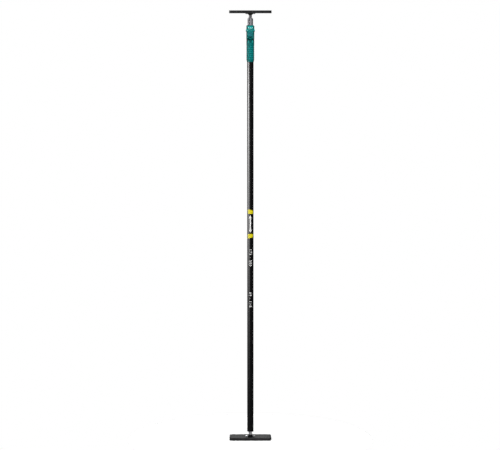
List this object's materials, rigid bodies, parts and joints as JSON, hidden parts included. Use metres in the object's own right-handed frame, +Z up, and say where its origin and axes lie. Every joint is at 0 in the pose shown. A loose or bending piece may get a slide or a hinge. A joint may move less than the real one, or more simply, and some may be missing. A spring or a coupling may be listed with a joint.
{
  "type": "telescopic support pole",
  "caption": "Telescopic support pole with a cam lever lock, ribbed grip and tilting rubber-soled pads at both ends, for propping boards and panels against a ceiling.",
  "frame": {"origin": "middle of the foot's sole", "axes": "+Z up the pole, X along the long sides of the pads, -Y towards the lever"},
  "size_m": [0.17, 0.076, 1.75],
  "materials": {
    "black_rubber": "matte moulded rubber",
    "black_paint": "semi-gloss black powder coat",
    "zinc": "bright zinc plate",
    "steel": "drawn steel tube",
    "grey_nylon": "plain nylon",
    "teal_grip": "satin moulded grip",
    "teal_plastic": "satin moulded plastic",
    "teal_pad": "matte soft pad",
    "black_plastic": "satin moulded plastic",
    "print_yellow": "printed film on the outer tube",
    "print_white": "printed marks on the outer tube"
  },
  "bodies": {
    "outer": {"outer_tube": "black_paint", "lower_end_plug": "zinc", "lower_plug_pin": "zinc", "grip_sleeve": "teal_grip", "lock_housing": "teal_plastic", "lever_pin": "zinc", "guide_ring": "black_plastic", "wiper_ring": "black_plastic"},
    "foot": {"foot_rubber_pad": "black_rubber", "foot_plate": "black_paint", "foot_hinge_block": "black_paint", "foot_hinge_straps": "zinc", "foot_block_rivets": "zinc", "foot_hinge_pin": "zinc", "foot_hinge_washers": "grey_nylon"},
    "lever": {"clamp_lever": "teal_plastic", "lever_thumb_pad": "teal_pad"},
    "shoe": {"brake_shoe": "black_plastic", "shoe_lining": "black_rubber"},
    "slider": {"slide_bush": "black_plastic"},
    "mast": {"inner_tube": "steel", "inner_end_plug": "black_plastic", "upper_end_plug": "zinc", "upper_plug_pin": "zinc"},
    "head": {"head_rubber_pad": "black_rubber", "head_plate": "black_paint", "head_hinge_block": "black_paint", "head_hinge_straps": "zinc", "head_block_rivets": "zinc", "head_hinge_pin": "zinc", "head_hinge_washers": "grey_nylon"}
  },
  "joints": [
    {"name": "pole_extension", "type": "slide", "parent": "outer", "child": "slider", "axis": [0, 0, 1], "range_m": [0, 1.25]},
    {"name": "pole_swivel", "type": "hinge", "parent": "slider", "child": "mast", "pos_m": [0, 0, 0.3], "axis": [0, 0, 1], "continuous": true},
    {"name": "head_tilt", "type": "hinge", "parent": "mast", "child": "head", "pos_m": [0, 0, 1.728], "axis": [0, 1, 0], "range_deg": [-45, 45]},
    {"name": "foot_tilt", "type": "hinge", "parent": "outer", "child": "foot", "pos_m": [0, 0, 0.022], "axis": [0, 1, 0], "range_deg": [-45, 45]},
    {"name": "lever_swing", "type": "hinge", "parent": "outer", "child": "lever", "pos_m": [0, -0.021, 1.67], "axis": [-1, 0, 0], "range_deg": [0, 90]},
    {"name": "shoe_release", "type": "slide", "parent": "outer", "child": "shoe", "axis": [0, -1, 0], "range_m": [0, 0.001]}
  ],
  "couplings": [
    {"joint": "shoe_release", "follows": "lever_swing", "m_per_rad": 0.00058521}
  ]
}
